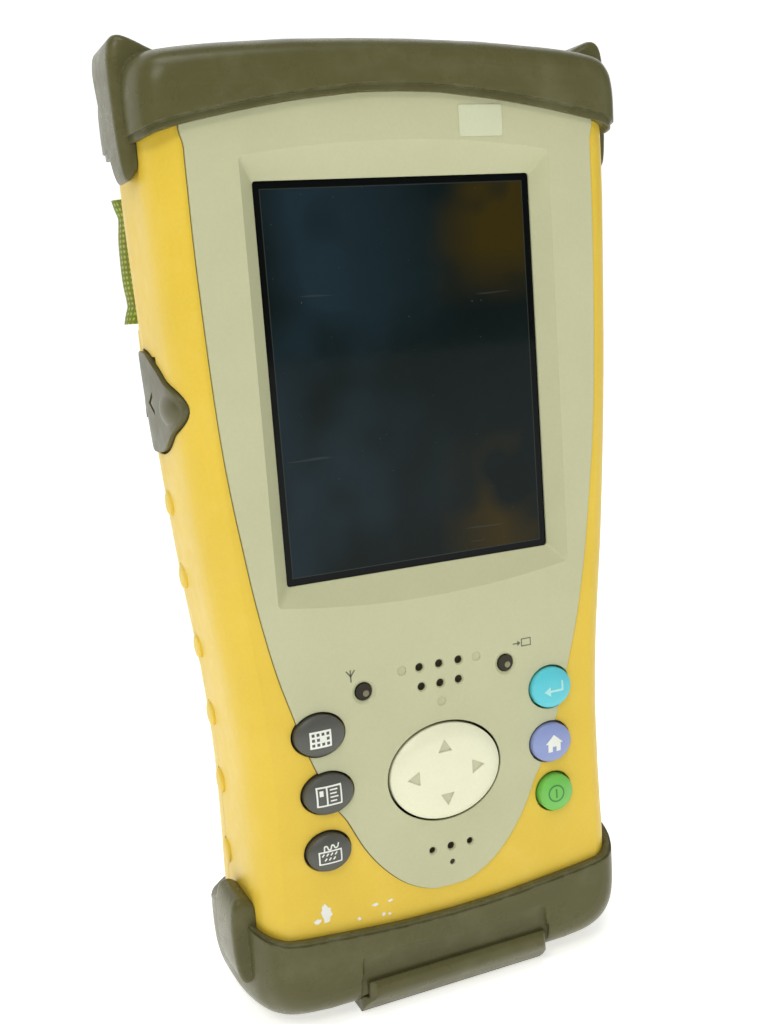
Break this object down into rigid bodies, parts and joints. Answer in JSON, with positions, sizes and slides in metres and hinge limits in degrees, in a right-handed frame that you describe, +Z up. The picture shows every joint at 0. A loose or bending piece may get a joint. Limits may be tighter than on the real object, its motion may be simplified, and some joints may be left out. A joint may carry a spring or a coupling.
{
  "type": "handheld data collector",
  "caption": "Rugged handheld field data collector with a portrait touch display, oval keys round a four-way pad, rubber end bumpers, sealed port covers and a webbing hand strap.",
  "frame": {"origin": "middle of the flat underside of the bottom bumper, on the plane of the case seam", "axes": "+X to the device's right as its user sees it, -Y out of the display and keypad, +Z up towards the top bumper"},
  "size_m": [0.1038, 0.0583, 0.195],
  "materials": {
    "shell_yellow": "satin moulded, fine grain",
    "panel_beige": "satin",
    "bumper_rubber": "semi-gloss rubber",
    "seal_rubber": "matte",
    "touch_glass": "glossy, dark",
    "lcd_glass": "glossy",
    "steel": "bright",
    "label_film": "satin film",
    "key_dark": "satin",
    "key_cyan": "satin",
    "key_blue": "satin",
    "key_green": "satin",
    "pad_cream": "satin",
    "circuit_board": "solder mask",
    "dark_plastic": "matte",
    "lamp_lens": "glossy",
    "frame_metal": "cast",
    "brass": "bright",
    "webbing": "woven"
  },
  "bodies": {
    "case": {"front_shell": "shell_yellow", "rear_shell": "shell_yellow", "battery_door": "shell_yellow", "front_panel": "panel_beige", "top_bumper": "bumper_rubber", "bottom_bumper": "bumper_rubber", "case_gasket": "seal_rubber", "keypad_membrane": "seal_rubber", "touch_panel": "touch_glass", "lcd_module": "lcd_glass", "lcd_frame": "steel", "board_screws": "steel", "case_screws": "steel", "port_hinge_pin": "steel", "strap_bars": "steel", "radio_shield": "steel", "backup_cell": "steel", "card_slot": "steel", "serial_port": "steel", "serial_jackscrews": "steel", "usb_port": "steel", "microphone": "steel", "blank_label": "label_film", "main_board": "circuit_board", "keypad_board": "circuit_board", "speaker": "dark_plastic", "dc_jack": "dark_plastic", "battery_pack": "dark_plastic", "memory_card": "dark_plastic", "led_lenses": "lamp_lens", "inner_frame": "frame_metal", "bracket_inserts": "brass", "battery_contacts": "brass", "antenna": "brass", "hand_strap": "webbing"},
    "key_grid": {"key_grid": "key_dark"},
    "key_window": {"key_window": "key_dark"},
    "key_keyboard": {"key_keyboard": "key_dark"},
    "key_enter": {"key_enter": "key_cyan"},
    "key_home": {"key_home": "key_blue"},
    "key_power": {"key_power": "key_green"},
    "dpad_pivot": {"dpad_pivot": "steel"},
    "dpad_cap": {"dpad_cap": "pad_cream"},
    "port_door": {"port_door": "bumper_rubber"},
    "side_port_cover": {"side_port_cover": "bumper_rubber"},
    "battery_screw_left": {"battery_screw_left": "steel"},
    "battery_screw_right": {"battery_screw_right": "steel"}
  },
  "joints": [
    {"name": "key_grid_press", "type": "slide", "parent": "case", "child": "key_grid", "axis": [0, 1, 0], "range_m": [0, 0.0008], "stiffness_N_per_m": 1500},
    {"name": "key_window_press", "type": "slide", "parent": "case", "child": "key_window", "axis": [0, 1, 0], "range_m": [0, 0.0008], "stiffness_N_per_m": 1500},
    {"name": "key_keyboard_press", "type": "slide", "parent": "case", "child": "key_keyboard", "axis": [0, 1, 0], "range_m": [0, 0.0008], "stiffness_N_per_m": 1500},
    {"name": "key_enter_press", "type": "slide", "parent": "case", "child": "key_enter", "axis": [0, 1, 0], "range_m": [0, 0.0008], "stiffness_N_per_m": 1500},
    {"name": "key_home_press", "type": "slide", "parent": "case", "child": "key_home", "axis": [0, 1, 0], "range_m": [0, 0.0008], "stiffness_N_per_m": 1500},
    {"name": "key_power_press", "type": "slide", "parent": "case", "child": "key_power", "axis": [0, 1, 0], "range_m": [0, 0.0008], "stiffness_N_per_m": 1500},
    {"name": "dpad_tilt_up_down", "type": "hinge", "parent": "case", "child": "dpad_pivot", "pos_m": [0.0005, -0.0189, 0.049], "axis": [1, 0, 0], "range_deg": [-4, 4], "stiffness_Nm_per_rad": 0.2},
    {"name": "dpad_tilt_left_right", "type": "hinge", "parent": "dpad_pivot", "child": "dpad_cap", "pos_m": [0.0005, -0.0189, 0.049], "axis": [0, 0, 1], "range_deg": [-4, 4], "stiffness_Nm_per_rad": 0.2},
    {"name": "port_door_hinge", "type": "hinge", "parent": "case", "child": "port_door", "pos_m": [0, -0.009, 0.0026], "axis": [1, 0, 0], "range_deg": [0, 95]},
    {"name": "side_cover_hinge", "type": "hinge", "parent": "case", "child": "side_port_cover", "pos_m": [-0.0452, 0.01, 0.129], "axis": [0, 0, -1], "range_deg": [0, 110]},
    {"name": "battery_screw_left_turn", "type": "hinge", "parent": "case", "child": "battery_screw_left", "pos_m": [-0.021, 0.021, 0.1056], "axis": [0, -1, 0], "range_deg": [0, 90]},
    {"name": "battery_screw_right_turn", "type": "hinge", "parent": "case", "child": "battery_screw_right", "pos_m": [0.021, 0.021, 0.1056], "axis": [0, 1, 0], "range_deg": [0, 90]}
  ]
}
